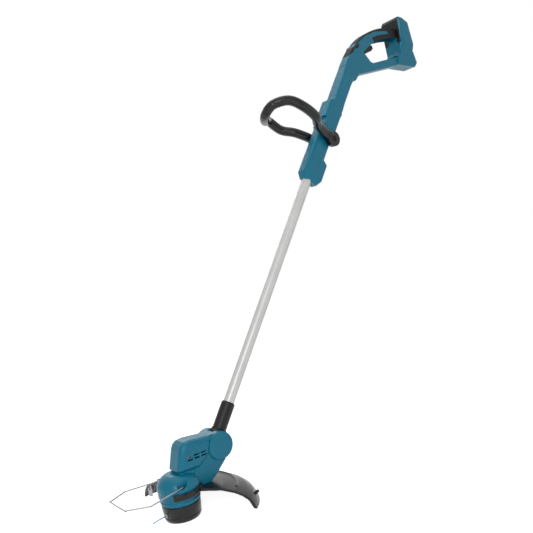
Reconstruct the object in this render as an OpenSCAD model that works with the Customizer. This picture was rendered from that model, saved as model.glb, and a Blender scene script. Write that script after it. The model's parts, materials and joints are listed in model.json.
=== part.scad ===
// Cordless string trimmer. The head stands on +Z, the user stands at +X.
// The origin is the centre of the bump knob's lower face, on the spool's axis.

/* [Shaft] */
// Angle between the spool's axis and the tube
lean = 35; // [25:1:45]
// Distance of the tilt hinge behind the spool's axis
pivot_x = 100; // [96:1:120]
// Height of the tilt hinge above the bump knob's lower face
pivot_z = 123; // [118:1:140]
// Outside diameter of the aluminium tube
tube_od = 25; // [20:0.5:28]
// Wall of the aluminium tube
tube_wall = 1.5; // [1:0.1:2.5]
// Length of the tube from its foot in the sleeve to the handle housing's lower end
tube_bare = 618; // [400:1:760]
// Depth to which the tube is held in the handle housing
tube_grip = 92; // [60:1:95]
// Outside diameter of the sleeve at the tube's foot
sleeve_od = 31; // [30:0.5:36]
// Length of the sleeve
sleeve_len = 62; // [50:1:80]

/* [Spool head] */
// Diameter of the spool head at its upper rim
spool_d = 82; // [78:1:90]
// Height of the spool head, bump knob included
spool_h = 34; // [32:1:40]
// Diameter of the bump knob
knob_d = 34; // [28:1:40]
// Travel of the bump knob
knob_travel = 5; // [3:0.5:5.5]
// Diameter of the nylon line
line_d = 2; // [1.6:0.1:2.4]

/* [Head] */
// Width of the motor housing
block_w = 54; // [50:1:64]
// Diameter of the rounded base
base_d = 90; // [88:1:100]
// Diameter of the hinge covers
ear_d = 60; // [52:1:64]
// Thickness of the housing walls
wall = 2.5; // [2:0.1:3]
// Diameter of the motor can
motor_d = 36; // [30:1:38]
// Length of the motor can
motor_len = 46; // [38:1:48]
// Teeth on the motor pinion
pinion_teeth = 13; // [12:1:15]
// Teeth on the spindle gear
gear_teeth = 49; // [45:1:51]
// Tooth size, pitch diameter over teeth
gear_module = 1; // [0.9:0.01:1.02]
// Diameter of the spindle
spindle_d = 8; // [7:0.5:9]

/* [Guards] */
// Radius of the protector's lower rim
guard_r = 163; // [150:1:175]
// Angle from the rear to the protector's left end
guard_left = 51; // [40:1:60]
// Angle from the rear to the protector's right end
guard_right = 94; // [80:1:105]
// Thickness of the protector
guard_t = 3; // [2.4:0.1:4]
// Diameter of the wire guard's wire
wire_d = 2.8; // [2.4:0.1:3.2]
// Reach of the wire guard ahead of the spool's axis
wire_reach = 135; // [125:1:150]

/* [Handle] */
// Half width of the lower barrel
barrel_half = 19; // [18.5:0.5:20]
// Half width of the upper barrel
upper_half = 21.5; // [21:0.5:23]
// Half width of the rear grip
grip_half = 17; // [16:0.5:19]
// Half width of the battery block
block_half = 35; // [34.5:0.5:40]
// Thickness of the rubber over the grip
rubber_t = 1.8; // [1.2:0.1:2.2]
// Diameter of the front loop's bar
loop_bar = 24; // [20:0.5:26]
// Diameter of the loop bolt
bolt_d = 6; // [5:0.5:7]

/* [Hidden] */

$fn = 64;
teal = [0.0, 0.47, 0.58];
black = [0.12, 0.12, 0.12];
steel = [0.72, 0.73, 0.75];
copper = [0.75, 0.42, 0.2];
// clearances
gap = 0.3;
run = 0.05;
eps = 0.01;

// ---- places along the tube, measured from the tilt hinge ----
sleeve_foot = 31;
tube_foot = sleeve_foot + 19;
barrel_end = tube_foot + tube_bare;
tube_top = barrel_end + tube_grip;
// everything on the handle is placed from the barrel's lower end
saddle_s = barrel_end + 151;
loop_s = barrel_end + 130;
loop_n = 16;
seam_s = barrel_end + 352;
barrel_front = -25;
barrel_rear = 22;
upper_front = -14;
upper_rear = 24;
pad_rear = 36;
// origin of the rear grip, on the tube's axis at the seam
grip_x = pivot_x + seam_s * sin(lean);
grip_z = pivot_z + seam_s * cos(lean);

// ---- places in the head ----
spool_r = spool_d / 2;
skirt_z = spool_h;
base_r = base_d / 2;
dome_z = 67;
block_half_w = block_w / 2;
motor_x = gear_module * (pinion_teeth + gear_teeth) / 2;
ear_r = ear_d / 2;
ear_half = 26;
cap_t = 3.6;
tongue_half = 12;
slot_half = tongue_half + gap;
plate_z = 80;
plate_t = 4;
plate_r = 32.6;
plate_boss = 12.6;
motor_z = plate_z + plate_t;
wire_z = 74;
wire_x = -8;
wire_y = 39;
wire_r = wire_d / 2;
eyelet_z = 18;
eyelet_turn = 188;
battery_back = 259;

// ---- helpers ----
function unit(v) = v / norm(v);
function bezier(a, b, c, d, n) =
  [for (i = [0:n]) let (t = i / n, u = 1 - t)
    u * u * u * a + 3 * u * u * t * b + 3 * u * t * t * c + t * t * t * d];
function catmull(p, i, t) =
  let (n = len(p) - 1,
       a = p[max(i - 1, 0)], b = p[i], c = p[min(i + 1, n)], d = p[min(i + 2, n)])
  0.5 * (2 * b + (c - a) * t + (2 * a - 5 * b + 4 * c - d) * t * t
    + (3 * b - a - 3 * c + d) * t * t * t);
function smooth_path(p, n) =
  concat([for (i = [0:len(p) - 2]) for (k = [0:n - 1]) catmull(p, i, k / n)], [p[len(p) - 1]]);
// a polygon moved inwards by g, its points in counter-clockwise order
function inset(p, g) =
  [for (i = [0:len(p) - 1])
    let (a = p[(i + len(p) - 1) % len(p)], b = p[i], c = p[(i + 1) % len(p)],
         u = unit(b - a), v = unit(c - b), m = [-u.y, u.x], w = [-v.y, v.x])
    b + (m + w) * g / (1 + m * w)];

// an open path moved to its left by g
function beside(p, g) =
  [for (i = [0:len(p) - 1])
    let (b = p[i], u = unit(p[max(i, 1)] - p[max(i, 1) - 1]),
         v = i < len(p) - 1 ? unit(p[i + 1] - b) : u, m = [-u.y, u.x], w = [-v.y, v.x])
    b + (m + w) * g / (1 + m * w)];

// a round bar swept along a path, with a reference direction that the path never follows
module swept(path, r, sides, ref) {
  n = len(path);
  rings = [for (i = [0:n - 1])
    let (t = unit(path[min(i + 1, n - 1)] - path[max(i - 1, 0)]),
         u = unit(cross(ref, t)), v = cross(t, u))
    for (k = [0:sides - 1])
      path[i] + r * (cos(360 * k / sides) * u + sin(360 * k / sides) * v)];
  walls = [for (i = [0:n - 2]) for (k = [0:sides - 1])
    let (a = i * sides + k, b = i * sides + (k + 1) % sides, c = b + sides, d = a + sides)
    each [[a, c, b], [a, d, c]]];
  first = [for (k = [0:sides - 1]) k];
  last = [for (k = [sides - 1:-1:0]) (n - 1) * sides + k];
  polyhedron(rings, concat(walls, [first], [last]), convexity = 6);
}
// a side outline in x and z, from y0 to y1
module plate(p, y0, y1) {
  translate([0, y1, 0]) rotate([90, 0, 0]) linear_extrude(y1 - y0) polygon(p);
}
module slab(p, half) {
  plate(p, -half, half);
}
module y_rod(r, y0, y1) {
  translate([0, y1, 0]) rotate([90, 0, 0]) cylinder(r = r, h = y1 - y0);
}
module ring(r1, r0, h) {
  difference() {
    cylinder(r = r1, h = h);
    translate([0, 0, -1]) cylinder(r = r0, h = h + 2);
  }
}
// a rectangle from x0 to x1 and -b to b, its corners rounded
module rounded(x0, x1, b, r) {
  translate([x0 + r, -b]) square([x1 - x0 - 2 * r, 2 * b]);
  translate([x0, -b + r]) square([x1 - x0, 2 * b - 2 * r]);
  for (x = [x0 + r, x1 - r]) {
    for (y = [-b + r, b - r]) {
      translate([x, y]) circle(r);
    }
  }
}
module bar(s0, s1, x0, x1, b, r) {
  translate([0, 0, s0]) linear_extrude(s1 - s0) rounded(x0, x1, b, r);
}
module on_shaft() {
  translate([pivot_x, 0, pivot_z]) rotate([0, lean, 0]) children();
}
module at_grip() {
  translate([grip_x, 0, grip_z]) children();
}
module at_loop() {
  on_shaft() translate([loop_n, 0, loop_s]) children();
}
module left_side() {
  intersection() {
    children();
    translate([-500, -300, -100]) cube([2500, 300, 2500]);
  }
}
module right_side() {
  intersection() {
    children();
    translate([-500, 0, -100]) cube([2500, 300, 2500]);
  }
}

// ---- rear grip outlines, measured from the grip's origin ----
grip_top = bezier([-13, 7], [22, 58], [70, 108], [165, 118], 12);
grip_under = bezier([62, 43], [90, 66], [120, 84], [205, 92], 6);
opening_low = [[212, 40], [94, 15], [84, 18]];
arm_low = [[18, -34], [34, -18], [198, 13]];
loop_outer = concat(arm_low, [[240, 21], [240, 118]], [for (i = [12:-1:0]) grip_top[i]]);
opening = concat(opening_low, [for (i = [0:6]) grip_under[i]]);
// the battery block in two convex parts: body and foot
block_side = [[214, 66], [259, 66], [246, 134], [222, 147], [209, 148], [203, 140], [208, 92]];
waist_side = [[206, 50], [257, 52], [259, 66], [214, 66]];
foot_side = [[190, 14], [214, 14], [264, 9], [276, 22], [259, 50], [206, 50]];
foot_half = 21;
// the part of the grip that rubber covers
rubber_zone = [[-40, 33], [7, 33], [21, 42], [30, 53], [49, 71], [78, 89], [116, 103], [167, 108],
  [176, 101], [152, 97], [124, 92], [102, 84], [110, 76], [108, 60], [207, 60], [207, 150], [-40, 150]];
bumper_zone = [[196, 68], [216, 84], [213, 142], [206, 152], [196, 152]];

// ---- handle housing ----
// the lengths overlap, and each is a hair smaller than the one it runs out of
hair = 0.2;
module barrel_form() {
  on_shaft() {
    // lower barrel: chamfered end, thick pad at the rear, slope down to the waist
    hull() {
      translate([0, 0, barrel_end]) linear_extrude(1) rounded(-16, 27, barrel_half - 7, 6);
      bar(barrel_end + 16, barrel_end + 62, barrel_front, pad_rear, barrel_half, 10);
      bar(barrel_end + 69, barrel_end + 70, barrel_front + hair, barrel_rear, barrel_half - hair, 10);
    }
    bar(barrel_end + 50, saddle_s + 8, barrel_front + 2 * hair, barrel_rear - hair, barrel_half - 2 * hair, 10);
    // upper barrel, wider, with the step at its front
    bar(saddle_s, barrel_end + 231, barrel_front, upper_rear, upper_half, 8);
    hull() {
      bar(barrel_end + 220, barrel_end + 229, barrel_front + hair, upper_rear - hair, upper_half - hair, 8);
      bar(barrel_end + 245, barrel_end + 246, upper_front + hair, upper_rear - hair, upper_half - 1, 8);
    }
    bar(barrel_end + 238, seam_s - 36, upper_front, upper_rear - 2 * hair, upper_half - 1 - hair, 8);
    hull() {
      bar(seam_s - 46, seam_s - 37, upper_front + hair, upper_rear - 3 * hair, upper_half - 1 - 2 * hair, 8);
      bar(seam_s - 1, seam_s + 3, upper_front + hair, 30, grip_half - hair, 5);
    }
    // lug behind the step, with a screw in it
    translate([upper_rear, 0, barrel_end + 216])
      slab([[-6, -16], [0, -14], [6, -4], [7.4, 6], [1, 13], [-6, 15]], 9);
  }
}
module barrel_cavity() {
  on_shaft() {
    bar(barrel_end + 22, saddle_s + 8, barrel_front + 3, barrel_rear - 3, barrel_half - 3, 7);
    bar(saddle_s + 7, seam_s - 38, upper_front + 3, upper_rear - 3, upper_half - 4, 6);
    bar(seam_s - 39, seam_s - 4, upper_front + 3, upper_rear - 3, grip_half - 4, 6);
  }
}
module loop_form() {
  difference() {
    union() {
      slab(loop_outer, grip_half - 4);
      slab(inset(loop_outer, 1.2), grip_half - 1.6);
      slab(inset(loop_outer, 3.5), grip_half);
    }
    slab(opening, grip_half + 1);
  }
}
module loop_cavity() {
  difference() {
    slab(inset(loop_outer, 5.5), grip_half - 3);
    slab(inset(opening, -3), grip_half + 1);
    translate([206, -grip_half, -30]) cube([80, 2 * grip_half, 200]);
  }
}
module block_form() {
  hull() {
    slab(block_side, block_half - 6);
    slab(inset(block_side, 5), block_half);
    slab(waist_side, block_half - 9);
  }
  hull() {
    slab([[206, 46], [259, 46], [259, 52], [206, 52]], block_half - 9);
    slab(foot_side, foot_half);
  }
}
module block_cavity() {
  slab([[219, 60], [240, 60], [240, 134], [222, 140], [213, 138], [217, 92]], block_half - 6);
  slab([[200, 24], [236, 22], [236, 62], [212, 62]], foot_half - 4);
}
// the channel that the battery slides down into, open to the rear and the top
channel_half = 31;
module battery_channel() {
  translate([244, -channel_half, 66.6]) cube([40, 2 * channel_half, 110]);
  // opening that the terminal block fills
  translate([236, -28.2, 68.2]) cube([12, 56.4, 64]);
}
trigger_pin_at = [71, 60];
module handle_holes() {
  on_shaft() {
    // seat of the tube
    translate([0, 0, barrel_end - 1]) cylinder(d = tube_od + 0.2, h = 30);
    translate([0, 0, barrel_end + 20]) cylinder(d = tube_od + 0.2, h = tube_grip - 20 + gap);
    // front loop's stop notch
    translate([barrel_front - 1, -upper_half - 1, barrel_end + 159]) cube([7, 2 * upper_half + 2, 21]);
  }
  at_loop() y_rod(bolt_d / 2 + 0.1, -30, 30);
  at_grip() {
    // slot for the trigger
    slab([[61.5, 38], [118, 58], [118, 80], [61.5, 66]], trigger_half + 0.7);
    translate([trigger_pin_at.x, 0, trigger_pin_at.y]) y_rod(2 + run, -12, 12);
    lock_slot(0.25, 40);
  }
}
trigger_half = 7.5;
module lock_slot(extra, half) {
  translate([39, 0, 59]) rotate([0, -42, 0]) {
    for (x = [-3, 3]) {
      translate([x, 0, 0]) y_rod(4.5 + extra, -half, half);
    }
    translate([-3, -half, -4.5 - extra]) cube([6, 2 * half, 9 + 2 * extra]);
  }
}
// housing screws run in from the right side: [x, z, length past the middle]
module screw_places(extra) {
  on_shaft() {
    for (p = [[26, barrel_end + 42, 14], [16, barrel_end + 172, 17], [16, barrel_end + 290, 16]]) {
      translate([p[0], 0, p[1]]) housing_screw(p[2], extra);
    }
    translate([upper_rear + 2.7, 0, barrel_end + 219]) housing_screw(6, extra);
  }
  at_grip() {
    for (p = [[28, -8, 13], [150, 14, 13], [132, 98, 13]]) {
      translate([p[0], 0, p[1]]) housing_screw(p[2], extra);
    }
    for (p = [[226, 132, 30], [246, 22, 20]]) {
      translate([p[0], 0, p[1]]) housing_screw(p[2], extra);
    }
  }
}
module housing_screw(half, extra) {
  y_rod(1.9 + extra, -half + 3, half - 2);
  y_rod(3.3 + extra, half - 2 - extra, half + (extra > 0 ? 30 : 1));
}
module screw_bosses() {
  on_shaft() {
    for (p = [[16, barrel_end + 172], [16, barrel_end + 290]]) {
      translate([p[0], 0, p[1]]) y_rod(4.6, -upper_half + 2, upper_half - 2);
    }
  }
  at_loop() y_rod(bolt_d / 2 + 3, -barrel_half + 1, barrel_half - 1);
  at_grip() {
    translate([132, 0, 98]) y_rod(4.6, -grip_half + 2, grip_half - 2);
    translate([226, 0, 132]) y_rod(4.6, -block_half + 5, block_half - 5);
    translate([trigger_pin_at.x, 0, trigger_pin_at.y]) y_rod(4.5, -grip_half + 2, grip_half - 2);
  }
}
module handle_body() {
  difference() {
    union() {
      difference() {
        union() {
          barrel_form();
          at_grip() {
            loop_form();
            block_form();
          }
        }
        barrel_cavity();
        at_grip() {
          loop_cavity();
          block_cavity();
        }
      }
      screw_bosses();
    }
    handle_holes();
    at_grip() battery_channel();
    rubber_form();
    at_grip() bumper_space();
  }
}
module rubber_form() {
  at_grip() {
    difference() {
      intersection() {
        loop_form();
        slab(rubber_zone, grip_half + 2);
      }
      difference() {
        slab(inset(loop_outer, rubber_t + 2), grip_half - rubber_t);
        slab(inset(opening, -rubber_t), grip_half + 2);
      }
      lock_slot(2.2, 40);
      translate([60, -trigger_half - 3, 30]) cube([52, 2 * trigger_half + 6, 50]);
    }
  }
}
module bumper_space() {
  difference() {
    slab(bumper_zone, block_half - 6);
    slab([[216, 66], [230, 66], [230, 144], [206, 144], [211, 92]], block_half - 8);
    slab(inset(loop_outer, -eps), grip_half + eps);
  }
}
module bumper_form() {
  at_grip() intersection() {
    block_form();
    bumper_space();
  }
}
module handle_shell_left() {
  color(teal) difference() {
    left_side() handle_body();
    screw_places(0.15);
  }
}
module handle_shell_right() {
  color(teal) difference() {
    mirror([0, 1, 0]) left_side() handle_body();
    screw_places(0.15);
  }
}
module grip_rubber() {
  color(black) rubber_form();
}
module rear_bumper() {
  color(black) bumper_form();
}
module handle_screws() {
  color(steel) screw_places(0);
}

// ---- trigger and lock-off ----
module trigger() {
  color(black) at_grip() difference() {
    slab([[65, 46], [73, 41], [104, 52], [111, 59], [109, 67], [98, 69], [76, 66], [66, 63]], trigger_half);
    translate([trigger_pin_at.x, 0, trigger_pin_at.y]) y_rod(2 + run, -20, 20);
    // pocket of the return spring
    translate([trigger_pin_at.x, 0, trigger_pin_at.y]) y_rod(4.2, -2.6, 2.6);
  }
}
module trigger_pin() {
  color(steel) at_grip() translate([trigger_pin_at.x, 0, trigger_pin_at.y]) y_rod(2, -11.5, 11.5);
}
module trigger_spring() {
  helix = [for (i = [0:48]) [3.1 * cos(22.5 * i), -1.6 + 3.2 * i / 48, 3.1 * sin(22.5 * i)]];
  color(steel) at_grip() translate([trigger_pin_at.x, 0, trigger_pin_at.y])
    swept(helix, 0.4, 8, [0, 1, 0]);
}
module lock_off_button() {
  color(black) at_grip() difference() {
    lock_slot(0, grip_half + 2.5);
    translate([39, 0, 59]) y_rod(2.6, -9.5, 6);
  }
}
module lock_off_spring() {
  helix = [for (i = [0:60]) [1.8 * cos(30 * i), -5 + 10 * i / 60, 1.8 * sin(30 * i)]];
  color(steel) at_grip() translate([39, 0, 59]) swept(helix, 0.35, 8, [0, 1, 0]);
}

// ---- electrics in the handle ----
module switch_module() {
  color(black) at_grip() {
    slab([[82, 76], [108, 84], [104, 94], [78, 86]], 9);
    slab([[94, 73], [99, 74.5], [98, 80], [92.5, 78.5]], 3);
  }
}
module control_board() {
  color([0.1, 0.35, 0.2]) on_shaft() {
    translate([-5, -15, barrel_end + 222]) cube([1.6, 30, 62]);
  }
  color(black) on_shaft() {
    for (s = [barrel_end + 230, barrel_end + 250]) {
      translate([-3.4, -12, s]) cube([4, 10, 14]);
    }
    translate([-3.4, 7, barrel_end + 264]) rotate([0, 90, 0]) cylinder(d = 10, h = 12);
  }
}
module terminal_block() {
  color(black) at_grip() {
    difference() {
      union() {
        // back plate with its two rails
        translate([240.3, -28, 68.4]) cube([6, 56, 63.6]);
        for (y = [-26, 18]) {
          translate([246.3 - eps, y, 70]) cube([6, 8, 60]);
        }
      }
      for (y = [-9, 9]) {
        translate([236, y - 0.6, 76]) cube([14, 1.2, 12]);
      }
    }
  }
}
module terminal_blades() {
  color(copper) at_grip() {
    for (y = [-9, 9]) {
      translate([237, y - 0.5, 76.2]) cube([16, 1, 11.6]);
    }
  }
}
module power_leads() {
  color([0.6, 0.08, 0.08]) on_shaft() translate([0, -3, 22]) cylinder(r = 1.3, h = barrel_end + 196);
  color([0.08, 0.08, 0.08]) on_shaft() translate([0, 3, 22]) cylinder(r = 1.3, h = barrel_end + 196);
}

// ---- tube, sleeve and loop ----
module main_tube() {
  color([0.86, 0.87, 0.88]) on_shaft() difference() {
    translate([0, 0, tube_foot]) cylinder(d = tube_od, h = tube_top - tube_foot);
    translate([0, 0, tube_foot - 1]) cylinder(d = tube_od - 2 * tube_wall, h = tube_top - tube_foot + 2);
    for (s = [barrel_end + 42, tube_foot + 18]) {
      translate([0, 0, s]) rotate([0, 90, 0]) cylinder(r = 2, h = 30);
    }
  }
}
module tube_bush() {
  color(black) on_shaft() difference() {
    bar(barrel_end + 28, barrel_end + 58, barrel_front + 3.1, barrel_rear - 3.1, barrel_half - 3.1, 7);
    translate([0, 0, barrel_end]) cylinder(d = tube_od + 0.1, h = 90);
    translate([0, 0, barrel_end + 42]) rotate([0, 90, 0]) cylinder(r = 2.1, h = 50);
    translate([17, -30, barrel_end]) cube([20, 60, 90]);
  }
}
// one screw holds the tube in its bush, the other in the sleeve
module tube_screws() {
  for (s = [barrel_end + 42, tube_foot + 18]) {
    color(steel) on_shaft() translate([tube_od / 2 - tube_wall - 1, 0, s]) rotate([0, 90, 0])
      cylinder(r = 1.9, h = 4.4);
  }
}
// the loop bar's centre line: [past the bolt, sideways, along the tube]
loop_path = [[-12, -31, 0], [-34, -32, -2], [-70, -46, -6], [-98, -69, -10], [-139, -70, -10],
  [-174, -54, -11], [-197, -29, -32], [-191, 0, -49], [-168, 36, -38], [-150, 60, -20],
  [-139, 70, -10], [-98, 69, -10], [-70, 46, -6], [-34, 32, -2], [-12, 31, 0]];
arm_in = barrel_half + 0.4;
arm_out = arm_in + 14;
module loop_handle() {
  color(black) at_loop() difference() {
    union() {
      swept(smooth_path(loop_path, 4), loop_bar / 2, 14, [0, 0, 1]);
      for (side = [-1, 1]) {
        y_rod(19.5, side > 0 ? arm_in : -arm_out, side > 0 ? arm_out : -arm_in);
        translate([-24, side > 0 ? arm_in : -arm_in - 9, -13]) cube([24, 9, 24]);
      }
    }
    y_rod(bolt_d / 2 + run, -60, 60);
    // seats of the bolt's head and the nut
    y_rod(bolt_d / 2 + 3.5, -60, -arm_out + 5);
    y_rod(bolt_d / 2 + 3.5, arm_out - 5, 60);
    // flat faces against the barrel
    translate([-60, -arm_in, -60]) cube([120, 2 * arm_in, 120]);
  }
}
module loop_bolt() {
  color(steel) at_loop() difference() {
    union() {
      y_rod(bolt_d / 2, -arm_out + 4, arm_out - 0.5);
      y_rod(bolt_d / 2 + 2, -arm_out + 0.8, -arm_out + 5);
    }
    translate([0, -arm_out + 3.5, 0]) rotate([90, 0, 0]) cylinder(d = 5, h = 9, $fn = 6);
  }
}
module loop_nut() {
  color(steel) at_loop() difference() {
    translate([0, arm_out - 0.6, 0]) rotate([90, 0, 0]) cylinder(d = bolt_d + 4.6, h = 4.4, $fn = 6);
    y_rod(bolt_d / 2, -60, 60);
  }
}
module pivot_sleeve() {
  color(black) on_shaft() difference() {
    union() {
      translate([0, 0, sleeve_foot]) cylinder(d = sleeve_od, h = sleeve_len - 3);
      translate([0, 0, sleeve_foot + sleeve_len - 3]) cylinder(d1 = sleeve_od, d2 = sleeve_od - 4, h = 3);
      // knuckle between the ears
      y_rod(21, -tongue_half, tongue_half);
      translate([-13, -tongue_half, 0]) cube([26, 2 * tongue_half, sleeve_foot + 1]);
    }
    translate([0, 0, tube_foot]) cylinder(d = tube_od + 0.1, h = 200);
    y_rod(5 + run, -40, 40);
    // way for the leads
    translate([0, 0, 14]) cylinder(r = 5.6, h = 60);
    // seat of the sleeve's screw
    translate([0, 0, tube_foot + 18]) rotate([0, 90, 0]) cylinder(r = 2.1, h = 40);
    // stop notches round the knuckle, one for each setting
    for (a = [-30:15:15]) {
      rotate([0, 180 + a, 0]) translate([0, 0, 21]) sphere(r = 2.2);
    }
  }
}

// ---- head housing, seen from the side ----
block_side_view = [[-6, 99], [2, 94], [44, 92], [72, 112], [86, 150], [32, 155.5], [19, 154], [10, 148],
  [5, 138]];
module dome(r, z0) {
  rotate_extrude() polygon(concat([[0, z0]], [[r - 4, z0], [r - 1, 50], [r, dome_z]],
    [for (a = [15:15:90]) [16 + (r - 16) * cos(a), dome_z + 27 * sin(a)]], [[0, dome_z + 27]]));
}
arm_half = 23;
arm_side = [[24, 64], [58, 50], [82, 66], [109, 90], [100, 123], [66, 112], [34, 93]];
module head_form() {
  dome(base_r, skirt_z + 15);
  hull() {
    slab(block_side_view, block_half_w - 11);
    slab(inset(block_side_view, 2.5), block_half_w - 4);
    slab(inset(block_side_view, 8), block_half_w);
  }
  slab([[0, 84], [60, 84], [60, 100], [-1, 100]], block_half_w - 6);
  slab(arm_side, arm_half);
  slab([[60, 100], [100, 94], [100, 152], [78, 151]], 21);
  translate([pivot_x, 0, pivot_z]) y_rod(ear_r, -ear_half, ear_half);
}
module head_cavity() {
  // gear room under the motor
  translate([0, 0, skirt_z + 10]) cylinder(r = base_r - 6, h = 28);
  translate([0, 0, skirt_z + 37]) cylinder(r = plate_r - 2.6, h = plate_z - skirt_z - 37 + eps);
  // motor room
  slab(inset(block_side_view, wall + 5), block_half_w - wall - 1);
  slab([[10, 96], [50, 96], [66, 116], [12, 112]], block_half_w - 8);
}
// a point n beside and s along a line that leans by a, in x and z
function turned(a, n, s) = [n * cos(a) + s * sin(a), s * cos(a) - n * sin(a)];
module head_holes() {
  translate([pivot_x, 0, pivot_z]) {
    // slot for the knuckle and the sleeve
    y_rod(21.6, -slot_half, slot_half);
    slab([turned(16, -13.5, 0), turned(16, -13.5, 62), turned(43, 0, 78), turned(70, 13.5, 62),
      turned(70, 13.5, 0)], slot_half + 0.1);
    y_rod(5 + 0.1, -40, 40);
    // seat of the detent
    rotate([0, 215, 0]) translate([0, 0, 20]) cylinder(r = 2.3, h = 16);
  }
  for (side = [-1, 1]) {
    // shallow panel, then two rows of three vents
    plate([[38, 96], [68, 114], [73, 142], [29, 148]], side > 0 ? block_half_w - 0.8 : -40,
      side > 0 ? 40 : -block_half_w + 0.8);
    for (x = [17, 34, 51]) {
      for (z = [115.5, 122]) {
        translate([x, side > 0 ? block_half_w - 8 : -block_half_w - 2, z]) cube([13, 10, 2.8]);
      }
    }
    // slot and hole of the wire guard
    translate([wire_x, side * wire_y, wire_z])
      plate([[-13, -3], [6, -3], [10, 12], [-1, 18], [-13, 12]], -4.2, 4.2);
    translate([wire_x, 0, wire_z]) y_rod(wire_r + 0.15, side > 0 ? 28 : -38, side > 0 ? 38 : -28);
  }
  // way of the motor's leads into the slot
  slab([[54, 126], [81, 121], [81, 130], [68, 134], [54, 140]], 7.6);
  head_screw_places(0.15);
}
head_screw_at = [[9, 118, 20], [72, 138, 20], [50, 62, 19], [86, 84, 19]];
module head_screw_places(extra) {
  for (p = head_screw_at) {
    translate([p[0], 0, p[1]]) {
      y_rod(1.9 + extra, -p[2] + 3, p[2] - 2);
      y_rod(3.6 + extra, p[2] - 2 - extra, p[2] + (extra > 0 ? 30 : 1));
    }
  }
}
module head_body() {
  difference() {
    union() {
      difference() {
        head_form();
        head_cavity();
      }
      for (p = head_screw_at) {
        translate([p[0], 0, p[1]]) y_rod(4.6, -p[2] + 1, p[2] - 1);
      }
      // webs that hold the wire guard's ends
      for (side = [-1, 1]) {
        translate([wire_x, 0, wire_z]) y_rod(4, side > 0 ? 29 : -35, side > 0 ? 35 : -29);
      }
    }
    head_holes();
    translate([motor_x, 0, motor_z]) cylinder(d = motor_d + 1, h = motor_len + 4);
    // way of the pinion
    translate([motor_x, 0, gear_z - 3]) cylinder(r = 10, h = motor_z - gear_z + 4);
    translate([0, 0, plate_z]) cylinder(r = plate_boss + gap, h = 8 + gap);
    translate([0, 0, plate_z]) cylinder(r = plate_r + run, h = plate_t + gap);
    for (a = guard_screw_turns) {
      rotate([0, 0, a]) translate([base_r - 5, 0, guard_screw_z]) rotate([0, 90, 0])
        cylinder(r = 1.8 + run, h = 10);
    }
  }
}
module head_shell_left() {
  color(teal) left_side() head_body();
}
module head_shell_right() {
  color(teal) right_side() head_body();
}
module pivot_cap(side) {
  translate([pivot_x, 0, pivot_z]) difference() {
    y_rod(ear_r - 0.6, side > 0 ? ear_half : -ear_half - cap_t, side > 0 ? ear_half + cap_t : -ear_half);
    // ring groove on the face
    difference() {
      y_rod(20.6, side > 0 ? ear_half + cap_t - 0.6 : -60, side > 0 ? 60 : -ear_half - cap_t + 0.6);
      y_rod(19.4, -61, 61);
    }
    y_rod(8, -ear_half - 1.4, ear_half + 1.4);
  }
}
module pivot_cap_left() {
  color(teal) pivot_cap(-1);
}
module pivot_cap_right() {
  color(teal) pivot_cap(1);
}
module pivot_bolt() {
  color(steel) translate([pivot_x, 0, pivot_z]) {
    y_rod(5, -ear_half, ear_half);
    y_rod(7.5, -ear_half - 1.2, -ear_half);
    y_rod(7.5, ear_half, ear_half + 1.2);
  }
}
module detent_plunger() {
  color(steel) translate([pivot_x, 0, pivot_z]) rotate([0, 215, 0]) {
    translate([0, 0, 23.2]) sphere(r = 1.9);
    translate([0, 0, 23.2]) cylinder(r = 1.9, h = 3);
  }
}
module detent_spring() {
  helix = [for (i = [0:60]) [1.5 * cos(30 * i), 1.5 * sin(30 * i), 26.6 + 8.5 * i / 60]];
  color(steel) translate([pivot_x, 0, pivot_z]) rotate([0, 215, 0]) swept(helix, 0.3, 8, [0, 0, 1]);
}
module head_screws() {
  color(steel) head_screw_places(0);
}

// ---- motor ----
module at_motor() {
  translate([motor_x, 0, motor_z]) children();
}
module motor_can() {
  color(steel) at_motor() difference() {
    cylinder(d = motor_d, h = motor_len);
    translate([0, 0, 1.2]) cylinder(d = motor_d - 2.4, h = motor_len);
    translate([0, 0, -1]) cylinder(r = 5, h = 4);
  }
}
module motor_magnets() {
  color([0.25, 0.25, 0.27]) at_motor() translate([0, 0, 10]) difference() {
    ring(motor_d / 2 - 1.2, motor_d / 2 - 4.6, 28);
    translate([-30, -4, -1]) cube([60, 8, 40]);
  }
}
module motor_end_bell() {
  color(black) at_motor() translate([0, 0, motor_len - 5]) difference() {
    cylinder(d = motor_d - 2.4, h = 5);
    translate([0, 0, -1]) cylinder(r = 2.6, h = 7);
  }
}
module motor_bearings() {
  color(steel) at_motor() {
    ring(4.95, 1.65, 2.4);
    translate([0, 0, motor_len - 4]) ring(2.55, 1.65, 3);
  }
}
module carbon_brushes() {
  color([0.2, 0.2, 0.2]) at_motor() for (side = [-1, 1]) {
    translate([side > 0 ? 5.2 : -11.2, -2, motor_len - 10]) cube([6, 4, 4.8]);
  }
}
module motor_leads() {
  for (side = [-1, 1]) {
    top = motor_z + motor_len + 1.2;
    lead = [[motor_x + 8, side * 7, top], [motor_x + 14, side * 7, top + 5], [motor_x + 24, side * 6, top + 5],
      [66, side * 5, 132], [73, side * 4, 128]];
    color(side > 0 ? [0.08, 0.08, 0.08] : [0.6, 0.08, 0.08]) swept(smooth_path(lead, 4), 1.2, 8, [0, 1, 0]);
  }
}
module rotor_shaft() {
  color(steel) translate([motor_x, 0, gear_z - 1]) cylinder(r = 1.6, h = motor_z + motor_len - gear_z);
}
module rotor_core() {
  color([0.45, 0.45, 0.47]) at_motor() translate([0, 0, 12]) difference() {
    cylinder(d = motor_d - 10.4, h = 20);
    translate([0, 0, -1]) cylinder(r = 1.6, h = 22);
    for (a = [0:72:288]) {
      rotate([0, 0, a]) translate([8, -2.4, -1]) cube([10, 4.8, 22]);
    }
  }
}
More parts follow.
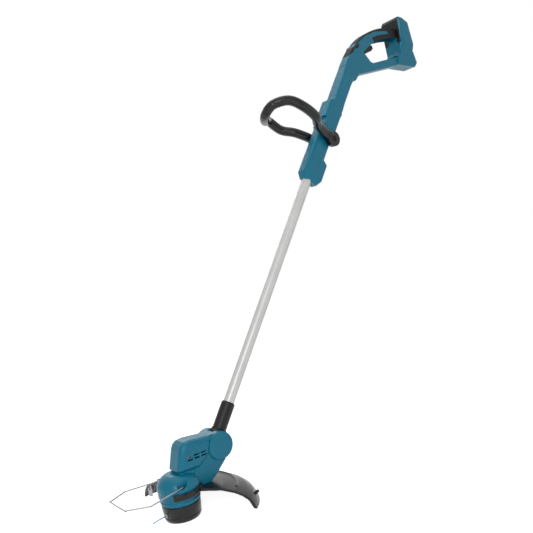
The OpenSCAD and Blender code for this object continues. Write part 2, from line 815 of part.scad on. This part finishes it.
module rotor_windings() {
  color(copper) at_motor() for (a = [0:72:288]) {
    rotate([0, 0, a]) translate([8.05, -2.2, 9.5]) cube([3.4, 4.4, 25]);
  }
}
module commutator() {
  color(copper) at_motor() translate([0, 0, motor_len - 10]) ring(5, 1.6, 4.6);
}
module cooling_fan() {
  color(black) at_motor() translate([0, 0, 3]) {
    ring(5, 1.6, 6);
    ring(14, 4.9, 1.2);
    for (a = [0:45:315]) {
      rotate([0, 0, a]) translate([4.5, -0.6, 0]) cube([9.3, 1.2, 6]);
    }
  }
}

// ---- gears: each flank is an involute, thinned for free running ----
backlash = 0.3;
function flank(rb, r) = let (q = max(0, sqrt(max(0, r * r / rb / rb - 1)))) q * 180 / PI - atan(q);
module spur_gear(teeth, bore_r, h) {
  rp = gear_module * teeth / 2;
  rb = rp * cos(20);
  tip = rp + 0.85 * gear_module;
  root = rp - 1.25 * gear_module;
  half_angle = 90 / teeth - backlash / 2 / rp * 180 / PI + flank(rb, rp);
  radii = [root, max(rb, root + 0.2), rp, tip];
  tooth = [for (i = [0:3]) [radii[i], half_angle - flank(rb, radii[i])]];
  linear_extrude(h) difference() {
    polygon([for (k = [0:teeth - 1]) for (p = concat([for (q = tooth) [q[0], -q[1]]],
      [for (i = [3:-1:0]) tooth[i]])) let (a = p[1] + 360 * k / teeth) p[0] * [cos(a), sin(a)]]);
    circle(bore_r);
  }
}
gear_z = 68;
module motor_pinion() {
  color(steel) translate([motor_x, 0, gear_z]) rotate([0, 0, 180 + 180 / pinion_teeth])
    spur_gear(pinion_teeth, 1.6, 10);
}
module spindle_gear() {
  color(black) translate([0, 0, gear_z + 1]) spur_gear(gear_teeth, spindle_d / 2, 8);
}
module gear_plate() {
  color([0.6, 0.61, 0.62]) difference() {
    union() {
      translate([0, 0, plate_z]) cylinder(r = plate_r, h = plate_t);
      translate([0, 0, plate_z]) cylinder(r = plate_boss, h = 8);
    }
    translate([0, 0, plate_z - 1]) cylinder(r = spindle_d / 2 + 2, h = 20);
    translate([0, 0, plate_z - 1]) cylinder(r = 11 + run, h = 8);
    translate([motor_x, 0, plate_z - 1]) cylinder(r = 8, h = 9);
  }
}
module spindle() {
  color(steel) translate([0, 0, 24]) cylinder(d = spindle_d, h = plate_z + 6.8 - 24);
}
module spindle_bearings() {
  color(steel) for (z = [skirt_z + 12, plate_z]) {
    translate([0, 0, z]) {
      ring(11, 8.6, 7);
      translate([0, 0, 0.4]) ring(8.6, 6.4, 6.2);
      ring(6.4, spindle_d / 2 + 0.02, 7);
    }
  }
}
module base_skirt() {
  color(teal) difference() {
    union() {
      translate([0, 0, skirt_z + 0.6]) cylinder(r = spool_r - 0.6, h = 5);
      translate([0, 0, skirt_z + 4]) cylinder(r = spool_r + 1.4, h = 5);
      translate([0, 0, skirt_z + 9]) cylinder(r = base_r - 4.2, h = 6);
      translate([0, 0, skirt_z + 9]) cylinder(r = base_r - 6.3, h = 10);
    }
    translate([0, 0, skirt_z + 12 - run]) cylinder(r = 11 + run, h = 20);
    translate([0, 0, skirt_z - 1]) cylinder(r = 9, h = 20);
    translate([0, 0, skirt_z - 1]) ring(spool_r - 5, 14, 8);
    translate([0, 0, skirt_z + 14]) ring(base_r - 9, 15, 8);
  }
}

// ---- protector, cutter and wire guard ----
collar_z = 50.6;
guard_top = [[49, 57], [92, 54], [122, 47], [141, 38], [152, 29], [guard_r - 4, 18], [guard_r, 8]];
guard_low = beside(guard_top, -guard_t);
guard_skin = concat(guard_top, [for (i = [len(guard_low) - 1:-1:0]) guard_low[i]]);
guard_screw_z = 59.8;
guard_screw_turns = [-100, 40, 118];
cutter_screw_at = [[119, 38], [129, 33]];
module sector(p, a0, a1) {
  rotate([0, 0, a0]) rotate_extrude(angle = a1 - a0) polygon(p);
}
module protector() {
  color([0.17, 0.15, 0.14]) difference() {
    union() {
      sector(guard_skin, -guard_left, guard_right);
      // collar round the base
      sector([[base_r + 0.1, collar_z], [base_r + 4, collar_z], [base_r + 4, 63], [base_r + 0.1, 63]],
        -132, 132);
      // folded ribs along both ends
      sector([[50, 50], [92, 49], [120, 42], [137, 34], [148, 25], [guard_r - 7, 8],
        [guard_r - 1, 8], [guard_r - 5, 18], [151, 28], [140, 37], [122, 46], [92, 53], [50, 56]],
        -guard_left, 2 - guard_left);
      sector([[50, 50], [92, 48], [111, 32], [118, 26], [136, 25], [147, 22], [guard_r - 7, 8],
        [guard_r - 1, 8], [guard_r - 5, 18], [151, 28], [140, 37], [122, 46], [92, 53], [50, 56]],
        guard_right - 2, guard_right);
      // raised rib that follows the rim
      sector([[116, 46], [119, 50.4], [122, 49.6], [124, 44]], -40, 86);
      // nub on the rim
      rotate([0, 0, -33]) translate([guard_r - 5, 0, 22]) rotate([0, 70, 0]) cylinder(d = 7, h = 6);
    }
    for (a = guard_screw_turns) {
      rotate([0, 0, a]) translate([base_r - 2, 0, guard_screw_z]) rotate([0, 90, 0]) cylinder(r = 2, h = 12);
    }
    // notch that the head's arm passes through
    slab(inset(arm_side, -gap), arm_half + gap);
    rotate([0, 0, guard_right]) for (p = cutter_screw_at) {
      translate([p[0], 0, p[1]]) y_rod(1.6 + run, -1.8, 3);
    }
  }
}
module protector_screws() {
  color(steel) for (a = guard_screw_turns) {
    rotate([0, 0, a]) translate([base_r - 4.5, 0, guard_screw_z]) rotate([0, 90, 0]) {
      cylinder(r = 1.8, h = 9);
      translate([0, 0, 8.5]) cylinder(r = 2.5, h = 2);
    }
  }
}
module line_cutter() {
  color(steel) rotate([0, 0, guard_right]) difference() {
    plate([[114, 41], [122, 17], [134, 15], [137, 20], [134, 32], [122, 43]], 0, 1.6);
    for (p = cutter_screw_at) {
      translate([p[0], 0, p[1]]) y_rod(1.6 + run, -2, 4);
    }
  }
}
module cutter_screws() {
  color(steel) rotate([0, 0, guard_right]) for (p = cutter_screw_at) {
    translate([p[0], 0, p[1]]) {
      y_rod(1.6, -1.5, 2);
      y_rod(3, 1.6, 3.4);
    }
  }
}
module wire_guard() {
  side = [[wire_x, wire_y - 3, wire_z], [wire_x, wire_y - 1, wire_z], [wire_x - 2.2, wire_y + 1, wire_z],
    [wire_x - 12, wire_y + 3.6, wire_z],
    [-88, 60.5, wire_z - 1], [-93, 61.5, wire_z - 1], [-97, 59, wire_z - 1],
    [3 - wire_reach, 38, wire_z], [-wire_reach, 34, wire_z]];
  path = concat(side, [for (i = [len(side) - 1:-1:0]) [side[i].x, -side[i].y, side[i].z]]);
  color(steel) {
    swept(smooth_path(path, 3), wire_r, 10, [0, 0, 1]);
    for (s = [-1, 1]) {
      translate([wire_x, 0, wire_z]) y_rod(wire_r, s > 0 ? 30 : -wire_y + 2, s > 0 ? wire_y - 2 : -30);
    }
  }
}

// ---- spool head ----
hub_z = 22;
reel_z = 6.05;
reel_r = spool_r - 8;
reel_h = spool_h - 3 - reel_z - knob_travel - 0.9;
module spool_housing() {
  color(black) difference() {
    union() {
      translate([0, 0, 11]) cylinder(r1 = spool_r - 1.6, r2 = spool_r, h = 14);
      translate([0, 0, 25]) cylinder(r = spool_r, h = spool_h - 25);
    }
    difference() {
      translate([0, 0, 10]) cylinder(r = spool_r - 4, h = spool_h - 13);
      translate([0, 0, hub_z]) cylinder(r = 8.9, h = 30);
    }
    translate([0, 0, 10]) cylinder(d = spindle_d, h = 60);
    // hole of the eyelet
    rotate([0, 0, eyelet_turn]) translate([spool_r - 10, 0, eyelet_z]) rotate([0, 90, 0]) cylinder(r = 3, h = 20);
  }
}
module spool_cover() {
  color(black) difference() {
    union() {
      translate([0, 0, 1]) cylinder(r1 = spool_r - 4.5, r2 = spool_r - 1.8, h = 6);
      translate([0, 0, 7]) cylinder(r = spool_r - 1.8, h = 4);
      translate([0, 0, 10]) cylinder(r = spool_r - 4.3, h = 3);
    }
    translate([0, 0, 6]) cylinder(r = spool_r - 6.5, h = 10);
    translate([0, 0, -1]) cylinder(r = spool_r - 8, h = 4);
    cylinder(d = knob_d + 1, h = 20);
  }
}
module line_eyelet() {
  color([0.8, 0.81, 0.83]) rotate([0, 0, eyelet_turn]) translate([spool_r - 4.6, 0, eyelet_z])
    rotate([0, 90, 0]) difference() {
      union() {
        cylinder(r = 2.95, h = 4.9);
        translate([0, 0, 4.65]) cylinder(r1 = 4.6, r2 = 4, h = 1.2);
      }
      translate([0, 0, -1]) cylinder(r = line_d / 2 + 0.5, h = 10);
    }
}
module line_reel() {
  color(black) difference() {
    union() {
      translate([0, 0, reel_z]) cylinder(r = reel_r, h = 1.6);
      translate([0, 0, reel_z]) cylinder(r = 15, h = reel_h);
      translate([0, 0, reel_z + reel_h - 1.6]) cylinder(r = reel_r, h = 1.6);
    }
    cylinder(r = 9.6, h = 40);
  }
}
module wound_line() {
  turn_h = (reel_h - 3.4) / 5;
  color([0.1, 0.45, 0.8]) for (i = [0:4]) {
    translate([0, 0, reel_z + 1.7 + turn_h * i]) ring(reel_r - 3 - i % 2, 15.05, turn_h - 0.2);
  }
}
// the free line: straight out of its eyelet, then falling a little
line_route = [[-38, -5.3, 18], [-41.2, -5.8, 18], [-46, -6.6, 18.1], [-52, -7.6, 18.1], [-58, -8.7, 18], [-64, -9.9, 17.8],
  [-70, -11.2, 17.5], [-75, -12.4, 17.1]];
module cutting_line() {
  color([0.15, 0.5, 0.85]) swept(smooth_path(line_route, 2), line_d / 2, 8, [0, 0, 1]);
}
module bump_knob() {
  color(black) difference() {
    union() {
      cylinder(d1 = knob_d - 5, d2 = knob_d, h = 2.5);
      translate([0, 0, 2.5]) cylinder(d = knob_d, h = reel_z - 2.5);
      translate([0, 0, reel_z]) cylinder(r = 9.55, h = 8);
    }
    translate([0, 0, 5]) cylinder(r = 7.2, h = 20);
  }
}
module feed_spring() {
  helix = [for (i = [0:78]) [5.4 * cos(24 * i), 5.4 * sin(24 * i), 5.6 + (hub_z - 0.6 - 5.6) * i / 78]];
  color(steel) swept(helix, 0.6, 8, [0, 0, 1]);
}

handle_shell_left();
handle_shell_right();
grip_rubber();
rear_bumper();
handle_screws();
trigger();
trigger_pin();
trigger_spring();
lock_off_button();
lock_off_spring();
switch_module();
control_board();
terminal_block();
terminal_blades();
power_leads();
main_tube();
tube_bush();
tube_screws();
loop_handle();
loop_bolt();
loop_nut();
pivot_sleeve();
head_shell_left();
head_shell_right();
pivot_cap_left();
pivot_cap_right();
pivot_bolt();
detent_plunger();
detent_spring();
head_screws();
motor_can();
motor_magnets();
motor_end_bell();
motor_bearings();
carbon_brushes();
motor_leads();
rotor_shaft();
rotor_core();
rotor_windings();
commutator();
cooling_fan();
motor_pinion();
gear_plate();
spindle();
spindle_gear();
spindle_bearings();
base_skirt();
protector();
protector_screws();
line_cutter();
cutter_screws();
wire_guard();
spool_housing();
spool_cover();
line_eyelet();
line_reel();
wound_line();
cutting_line();
bump_knob();
feed_spring();
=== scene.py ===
"""String trimmer: its finishes and its rounded mouldings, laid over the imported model."""

import json
import math

import bpy
from mathutils import Matrix, Vector


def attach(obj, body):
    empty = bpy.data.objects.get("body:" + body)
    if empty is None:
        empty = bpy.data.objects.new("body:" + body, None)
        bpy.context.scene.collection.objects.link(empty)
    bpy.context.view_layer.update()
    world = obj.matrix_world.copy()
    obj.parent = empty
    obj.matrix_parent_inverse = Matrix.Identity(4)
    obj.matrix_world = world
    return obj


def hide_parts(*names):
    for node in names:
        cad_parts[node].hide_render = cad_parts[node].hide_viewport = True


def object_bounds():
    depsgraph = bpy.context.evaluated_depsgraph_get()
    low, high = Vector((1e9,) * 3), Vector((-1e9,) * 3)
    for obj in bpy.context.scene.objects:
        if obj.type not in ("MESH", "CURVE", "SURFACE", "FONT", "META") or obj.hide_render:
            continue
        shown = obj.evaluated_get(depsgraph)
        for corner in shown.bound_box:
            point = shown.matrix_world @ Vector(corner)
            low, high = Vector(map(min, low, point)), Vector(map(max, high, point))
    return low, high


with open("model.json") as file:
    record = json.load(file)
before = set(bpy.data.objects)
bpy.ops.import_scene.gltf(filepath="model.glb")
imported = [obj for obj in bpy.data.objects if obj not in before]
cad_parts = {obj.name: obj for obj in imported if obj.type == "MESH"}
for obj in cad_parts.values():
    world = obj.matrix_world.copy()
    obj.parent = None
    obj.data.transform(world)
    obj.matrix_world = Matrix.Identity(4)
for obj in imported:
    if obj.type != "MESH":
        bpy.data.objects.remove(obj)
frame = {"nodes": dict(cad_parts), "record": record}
CAD_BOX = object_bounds()
NODES = frame["nodes"]
BODY = {n: b for b, ns in frame["record"]["behaviour"]["bodies"].items() for n in ns}
SLOT = {s["node"]: s["material_slot"] for s in frame["record"]["subparts"]}


# ---- camera ----
SENSOR_WIDTH = 36
LENS_PER_WIDTH = 1.1639


def place_camera():
    """Looks at the tube's middle from the front left, a little tilted."""
    turn, rise, roll = -0.636, 0.041, -0.163
    target, distance = Vector((0.3175, 0, 0.4793)), 1.4655
    back = Vector((math.sin(turn) * math.cos(rise), -math.cos(turn) * math.cos(rise),
                   math.sin(rise)))
    right = Vector((math.cos(turn), math.sin(turn), 0))
    up = back.cross(right)
    x_axis = math.cos(roll) * right + math.sin(roll) * up
    y_axis = -math.sin(roll) * right + math.cos(roll) * up
    data = bpy.data.cameras.new("camera")
    data.sensor_width = SENSOR_WIDTH
    data.lens = SENSOR_WIDTH * LENS_PER_WIDTH
    data.clip_end = 50
    camera = bpy.data.objects.new("camera", data)
    basis = Matrix((x_axis, y_axis, back)).transposed().to_4x4()
    camera.matrix_world = Matrix.Translation(target + distance * back) @ basis
    bpy.context.scene.collection.objects.link(camera)
    bpy.context.scene.camera = camera


place_camera()


# ---- shader maths ----
class Value:
    """One output of a node, with the operators that build Math nodes behind it."""

    def __init__(self, finish, socket):
        self.finish = finish
        self.socket = socket

    def _math(self, operation, *others):
        node = self.finish.node("ShaderNodeMath", {"operation": operation}, *others)
        return node.out(0)

    def __add__(self, other):
        return self._math("ADD", self, other)

    __radd__ = __add__

    def __sub__(self, other):
        return self._math("SUBTRACT", self, other)

    def __rsub__(self, other):
        return self._math("SUBTRACT", other, self)

    def __mul__(self, other):
        return self._math("MULTIPLY", self, other)

    __rmul__ = __mul__

    def highest(self, other):
        return self._math("MAXIMUM", self, other)

    def step(self, start, end):
        """0 below start, 1 above end, smooth between."""
        node = self.finish.node(
            "ShaderNodeMapRange", {"interpolation_type": "SMOOTHSTEP"},
            self, start, end, 0.0, 1.0)
        return node.out(0)


class Placed:
    """A node already in the tree."""

    def __init__(self, finish, node):
        self.finish = finish
        self.node = node

    def out(self, key):
        return Value(self.finish, self.node.outputs[key])


class Tree:
    """The nodes of a material or of the world."""

    def __init__(self, owner):
        owner.use_nodes = True
        self.tree = owner.node_tree
        self.tree.nodes.clear()

    def node(self, kind, settings, *inputs, **named):
        """Adds any node: its settings first, then its sockets, in order or by name."""
        node = self.tree.nodes.new(kind)
        for key, value in settings.items():
            setattr(node, key, value)
        sockets = list(enumerate(inputs)) + [(k.replace("_", " "), v) for k, v in named.items()]
        for key, value in sockets:
            if value is None:
                continue
            if isinstance(value, Value):
                self.tree.links.new(value.socket, node.inputs[key])
            else:
                node.inputs[key].default_value = value
        return Placed(self, node)


class Finish(Tree):
    """One material."""

    def __init__(self, name):
        self.material = bpy.data.materials.new(name)
        super().__init__(self.material)

    def place(self):
        """Where a point is, in metres, in the model's frame."""
        return self.node("ShaderNodeTexCoord", {}).out("Object")

    def parts(self, vector):
        split = self.node("ShaderNodeSeparateXYZ", {}, vector)
        return [split.out(i) for i in range(3)]

    def stretched(self, vector, scale, turn=(0, 0, 0)):
        return self.node("ShaderNodeMapping", {}, vector, Rotation=turn, Scale=scale).out(0)

    def noise(self, vector, scale, detail=3.0, roughness=0.5):
        return self.node("ShaderNodeTexNoise", {}, vector, Scale=scale, Detail=detail,
                         Roughness=roughness).out(0)

    def mix(self, factor, one, two):
        node = self.node("ShaderNodeMix", {"data_type": "RGBA"})
        for key, value in ((0, factor), (6, one), (7, two)):
            if isinstance(value, Value):
                self.tree.links.new(value.socket, node.node.inputs[key])
            else:
                node.node.inputs[key].default_value = value
        return node.out(2)

    def bump(self, height, distance, strength=1.0, normal=None):
        return self.node("ShaderNodeBump", {}, Strength=strength, Distance=distance,
                         Height=height, Normal=normal).out(0)

    def edges(self, radius):
        """The rounded normal of edges, and a mask that is 1 along them."""
        soft = self.node("ShaderNodeBevel", {"samples": 6}, Radius=radius).out(0)
        true = self.node("ShaderNodeNewGeometry", {}).out("True Normal")
        alike = self.node("ShaderNodeVectorMath", {"operation": "DOT_PRODUCT"},
                          soft, true).out("Value")
        return soft, (1 - alike).step(0.02, 0.25)

    def close(self, base, roughness, normal=None, **constants):
        shader = self.node("ShaderNodeBsdfPrincipled", {}, Base_Color=base, Roughness=roughness,
                           Normal=normal, **constants)
        output = self.node("ShaderNodeOutputMaterial", {})
        self.tree.links.new(shader.node.outputs[0], output.node.inputs[0])
        return self.material


def rgb(red, green, blue):
    """A colour as it is written for a screen, as linear light."""
    def linear(c):
        c = c / 255
        return c / 12.92 if c <= 0.04045 else ((c + 0.055) / 1.055) ** 2.4
    return (linear(red), linear(green), linear(blue), 1.0)


def toned(colour, share):
    return tuple(min(1, c * share) for c in colour[:3]) + (1.0,)


# ---- finishes ----
GRAIN_STRENGTH = 0.5
PLASTIC_IOR = 1.36


def moulded(name, colour, worn, gloss, grain, grain_size, coat=0.0):
    """Injection-moulded plastic: a fine grain, uneven gloss, faint scuffs and paler worn edges."""
    f = Finish(name)
    at = f.place()
    cloud = f.noise(at, 14.0, 4.0)
    fine = f.noise(at, grain_size, 2.0, 0.6)
    scuffs = f.noise(f.stretched(at, (60, 900, 300), (0.3, 0.9, 0.2)), 1.0, 2.0).step(0.66, 0.74)
    soft, edge_mask = f.edges(0.0008)
    wear = edge_mask * f.noise(at, 220.0, 3.0).step(0.42, 0.62)
    tone = f.mix(cloud.step(0.3, 0.75) * 0.5, colour, toned(colour, 0.86))
    tone = f.mix(wear * 0.55, tone, worn)
    tone = f.mix(scuffs * 0.1, tone, worn)
    rough = gloss + (cloud - 0.5) * 0.12 + (fine - 0.5) * 0.06 + scuffs * 0.1 + wear * 0.12
    normal = f.bump(fine, grain, GRAIN_STRENGTH, soft)
    return f.close(tone, rough, normal, Coat_Weight=coat, Coat_Roughness=0.12, IOR=PLASTIC_IOR)


TUBE_LEAN = math.radians(35)


def tube_metal():
    """Drawn alloy: hair-fine lines along the tube, a satin sheen and small handling marks."""
    f = Finish("aluminium_tube")
    at = f.place()
    along = f.stretched(at, (1500, 1500, 9), (0, -TUBE_LEAN, 0))
    lines = f.noise(along, 1.0, 3.0, 0.6)
    cloud = f.noise(at, 22.0, 3.0)
    marks = f.noise(f.stretched(at, (400, 90, 700), (0.5, 0.2, 0.9)), 1.0, 2.0).step(0.7, 0.76)
    tone = f.mix(lines, rgb(214, 214, 212), rgb(236, 236, 234))
    tone = f.mix(cloud.step(0.4, 0.8) * 0.35, tone, rgb(204, 204, 202))
    rough = 0.36 + (lines - 0.5) * 0.16 + (cloud - 0.5) * 0.1 + marks * 0.12
    soft, _ = f.edges(0.0005)
    return f.close(tone, rough, f.bump(lines, 0.00003, 0.6, soft), Metallic=0.16, IOR=1.4)


def plain_metal(name, colour, gloss, metallic=1.0, grain=300):
    """Turned, drawn or cast metal: cloudy, a little brighter along its edges."""
    f = Finish(name)
    at = f.place()
    lines = f.noise(f.stretched(at, (grain, grain, grain)), 1.0, 3.0)
    cloud = f.noise(at, 40.0, 3.0)
    soft, edge_mask = f.edges(0.0003)
    tone = f.mix(cloud.step(0.3, 0.8) * 0.4, colour, toned(colour, 0.78))
    tone = f.mix(edge_mask * 0.4, tone, toned(colour, 1.3))
    rough = gloss + (lines - 0.5) * 0.16 + (cloud - 0.5) * 0.1
    return f.close(tone, rough, f.bump(lines, 0.00002, 0.5, soft), Metallic=metallic)


def soft_rubber():
    """Over-moulded rubber: a tight pebble texture and a dull, dusty sheen."""
    f = Finish("rubber")
    at = f.place()
    pebbles = f.node("ShaderNodeTexVoronoi", {"feature": "F1"}, at, Scale=900.0).out("Distance")
    cloud = f.noise(at, 26.0, 4.0)
    soft, edge_mask = f.edges(0.0008)
    tone = f.mix(cloud.step(0.35, 0.75), rgb(20, 20, 21), rgb(27, 26, 26))
    tone = f.mix(edge_mask * 0.35, tone, rgb(64, 62, 62))
    rough = 0.58 + (cloud - 0.5) * 0.16 + pebbles * 0.1
    return f.close(tone, rough, f.bump(pebbles, 0.00012, GRAIN_STRENGTH, soft),
                   IOR=PLASTIC_IOR)


def nylon():
    """Blue line: slightly cloudy, paler where it has rubbed, with faint drawing lines."""
    f = Finish("blue_nylon")
    at = f.place()
    lines = f.noise(f.stretched(at, (60, 1600, 1600)), 1.0, 2.0)
    cloud = f.noise(at, 300.0, 3.0)
    along = f.parts(at)[0]
    tip = 1 - along.step(-0.076, -0.058)
    tone = f.mix(cloud.step(0.3, 0.8), rgb(28, 108, 200), rgb(50, 136, 222))
    tone = f.mix(tip * 0.5, tone, rgb(126, 186, 240))
    rough = 0.3 + (lines - 0.5) * 0.15
    return f.close(tone, rough, f.bump(lines, 0.00003, 0.5), IOR=1.53, Coat_Weight=0.2)


FINISHES = {"rubber": soft_rubber(), "aluminium_tube": tube_metal(), "blue_nylon": nylon()}
# colour, colour of worn edges, gloss, depth of the grain in metres, its fineness, clear coat
for name, *look in (
    ("teal_plastic", rgb(0, 126, 156), rgb(60, 172, 192), 0.34, 0.00004, 1500.0, 0.06),
    ("black_plastic", rgb(16, 16, 17), rgb(60, 60, 62), 0.44, 0.00008, 1100.0),
    ("gloss_black", rgb(13, 13, 14), rgb(60, 60, 63), 0.24, 0.00003, 1300.0, 0.12),
    ("guard_plastic", rgb(18, 16, 15), rgb(66, 61, 57), 0.3, 0.00006, 700.0, 0.08),
    ("carbon", rgb(38, 38, 38), rgb(70, 70, 70), 0.62, 0.0001, 900.0),
    ("board", rgb(16, 84, 52), rgb(60, 130, 90), 0.36, 0.00004, 800.0, 0.3),
    ("lead_sheath", rgb(150, 26, 24), rgb(190, 80, 74), 0.44, 0.00003, 600.0),
):
    FINISHES[name] = moulded(name, *look)
# colour, gloss, metallic share, fineness of the grain
for name, *look in (
    ("steel", rgb(142, 144, 148), 0.3),
    ("blackened_steel", rgb(46, 46, 48), 0.42, 0.8),
    ("copper", rgb(206, 128, 82), 0.3),
    ("magnet", rgb(70, 70, 73), 0.5, 0.6),
    ("die_cast", rgb(160, 162, 165), 0.46, 0.9, 900),
):
    FINISHES[name] = plain_metal(name, *look)


def finish_with(thing, slot):
    thing.data.materials.clear()
    thing.data.materials.append(FINISHES[slot])


# ---- mouldings with rounded edges ----
KEPT_FACES = 0.4


def rounded(node, grain, passes):
    """A copy of a CAD node whose sharp edges are rolled over, as a mould leaves them."""
    source = NODES[node]
    piece = bpy.data.objects.new(node + "_moulding", source.data.copy())
    bpy.context.scene.collection.objects.link(piece)
    remesh = piece.modifiers.new("skin", "REMESH")
    remesh.mode = "VOXEL"
    remesh.voxel_size = grain
    smooth = piece.modifiers.new("roll", "SMOOTH")
    smooth.factor = 0.5
    smooth.iterations = passes
    thin = piece.modifiers.new("thin", "DECIMATE")
    thin.ratio = KEPT_FACES
    made = bpy.data.meshes.new_from_object(
        piece.evaluated_get(bpy.context.evaluated_depsgraph_get()))
    piece.modifiers.clear()
    piece.data = made
    for face in made.polygons:
        face.use_smooth = True
    finish_with(piece, SLOT[node])
    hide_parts(node)
    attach(piece, BODY[node])
    return piece


for name, thing in NODES.items():
    finish_with(thing, SLOT[name])

# node, size of the skin's cells in metres, rounds of smoothing
for name, grain, passes in (
    ("handle_shell_left", 0.0008, 4), ("handle_shell_right", 0.0008, 4),
    ("head_shell_left", 0.0006, 3), ("head_shell_right", 0.0006, 3),
    ("pivot_cap_left", 0.0005, 3), ("pivot_cap_right", 0.0005, 3),
    ("grip_rubber", 0.0005, 4), ("rear_bumper", 0.0007, 5), ("loop_handle", 0.0010, 5),
    ("trigger", 0.0005, 5), ("lock_off_button", 0.0004, 4), ("base_skirt", 0.0007, 3),
    ("protector", 0.0009, 4), ("spool_housing", 0.0007, 3), ("spool_cover", 0.0007, 4),
    ("bump_knob", 0.0005, 4), ("pivot_sleeve", 0.0007, 3),
):
    rounded(name, grain, passes)


# ---- free line ----
def smooth_path(points, n):
    """The same rounded route as the solid's, as n steps between each two points."""
    out = []
    last = len(points) - 1
    for i in range(last):
        a, b, c, d = points[max(i - 1, 0)], points[i], points[i + 1], points[min(i + 2, last)]
        for k in range(n):
            t = k / n
            out.append(0.5 * (2 * b + (c - a) * t + (2 * a - 5 * b + 4 * c - d) * t * t
                              + (3 * b - a - 3 * c + d) * t ** 3))
    return out + [points[last]]


def swept(name, path, radius, sides):
    """A round bar along a path, closed at both ends."""
    verts, faces = [], []
    for i, p in enumerate(path):
        t = (path[min(i + 1, len(path) - 1)] - path[max(i - 1, 0)]).normalized()
        u = Vector((0, 0, 1)).cross(t).normalized()
        v = t.cross(u)
        for k in range(sides):
            a = 2 * math.pi * k / sides
            verts.append(p + radius * (math.cos(a) * u + math.sin(a) * v))
    for i in range(len(path) - 1):
        for k in range(sides):
            a, b = i * sides + k, i * sides + (k + 1) % sides
            faces.append((a, b, b + sides, a + sides))
    faces.append(tuple(range(sides))[::-1])
    faces.append(tuple((len(path) - 1) * sides + k for k in range(sides)))
    mesh = bpy.data.meshes.new(name)
    mesh.from_pydata([tuple(v) for v in verts], [], faces)
    for face in mesh.polygons:
        face.use_smooth = len(face.vertices) == 4
    piece = bpy.data.objects.new(name, mesh)
    bpy.context.scene.collection.objects.link(piece)
    return piece


LINE_DIAMETER = 0.002
# straight out of its eyelet, then falling a little, in millimetres
LINE_ROUTE = [Vector(p) / 1000 for p in (
    (-38, -5.3, 18), (-41.2, -5.8, 18), (-46, -6.6, 18.1), (-52, -7.6, 18.1), (-58, -8.7, 18),
    (-64, -9.9, 17.8), (-70, -11.2, 17.5), (-75, -12.4, 17.1))]
line_path = smooth_path(LINE_ROUTE, 4)
line_length = sum((b - a).length for a, b in zip(line_path, line_path[1:]))
line = swept("line_end", line_path, LINE_DIAMETER / 2, 16)
finish_with(line, "blue_nylon")
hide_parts("cutting_line")
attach(line, BODY["cutting_line"])


# ---- studio ----
def bright_where_seen(world):
    """A dim white room that is plain white behind the trimmer and in what its faces mirror."""
    t = Tree(world)
    rays = t.node("ShaderNodeLightPath", {})
    seen = rays.out("Is Camera Ray").highest(rays.out("Is Transmission Ray"))
    seen = seen.highest(rays.out("Is Glossy Ray"))
    dim = t.node("ShaderNodeBackground", {}, WHITE, ROOM_LIGHT).out(0)
    bright = t.node("ShaderNodeBackground", {}, WHITE, 1.0).out(0)
    mixed = t.node("ShaderNodeMixShader", {}, seen, dim, bright).out(0)
    t.node("ShaderNodeOutputWorld", {}, mixed)


def lamp(name, place, size, power):
    data = bpy.data.lights.new(name, "AREA")
    data.shape = "RECTANGLE"
    data.size, data.size_y = size
    data.energy = power
    thing = bpy.data.objects.new(name, data)
    thing.location = place
    aim = LIT_POINT - Vector(place)
    thing.rotation_euler = aim.to_track_quat("-Z", "Y").to_euler()
    bpy.context.scene.collection.objects.link(thing)


def floor_finish():
    """Pale, and lit from within where it is seen, so that only the soft shadow is left on it."""
    f = Finish("pale_floor")
    rays = f.node("ShaderNodeLightPath", {})
    lift = rays.out("Is Camera Ray").highest(rays.out("Is Glossy Ray"))
    lift = lift.highest(rays.out("Is Transmission Ray"))
    glow = f.mix(lift, (0, 0, 0, 1), WHITE)
    return f.close(FLOOR_TONE, 0.9, None, Emission_Color=glow, Emission_Strength=FLOOR_GLOW)


WHITE = (1, 1, 1, 1)
ROOM_LIGHT = 0.16
FLOOR_TONE = (0.86, 0.86, 0.86, 1)
FLOOR_GLOW = 0.9
FLOOR_REACH = 14.0
FLOOR_DROP = 0.0005
LIT_POINT = Vector((0.35, 0, 0.5))


def studio():
    scene = bpy.context.scene
    scene.view_settings.view_transform = "Standard"
    scene.world = bpy.data.worlds.new("studio")
    bright_where_seen(scene.world)
    lamp("key", (-1.25, -1.7, 1.45), (1.0, 1.3), 24)
    lamp("fill", (1.6, -2.2, 1.1), (2.0, 1.6), 4)
    lamp("top", (0.3, 0.4, 2.6), (1.8, 1.8), 10)
    lamp("rim", (1.0, 2.0, 1.6), (1.2, 1.2), 8)
    mesh = bpy.data.meshes.new("floor")
    level = CAD_BOX[0][2] - FLOOR_DROP
    corners = ((-1, -1), (1, -1), (1, 1), (-1, 1))
    mesh.from_pydata([(FLOOR_REACH * x, FLOOR_REACH * y, level) for x, y in corners], [],
                     [(0, 1, 2, 3)])
    mesh.materials.append(floor_finish())
    floor = bpy.data.objects.new("floor", mesh)
    scene.collection.objects.link(floor)


studio()
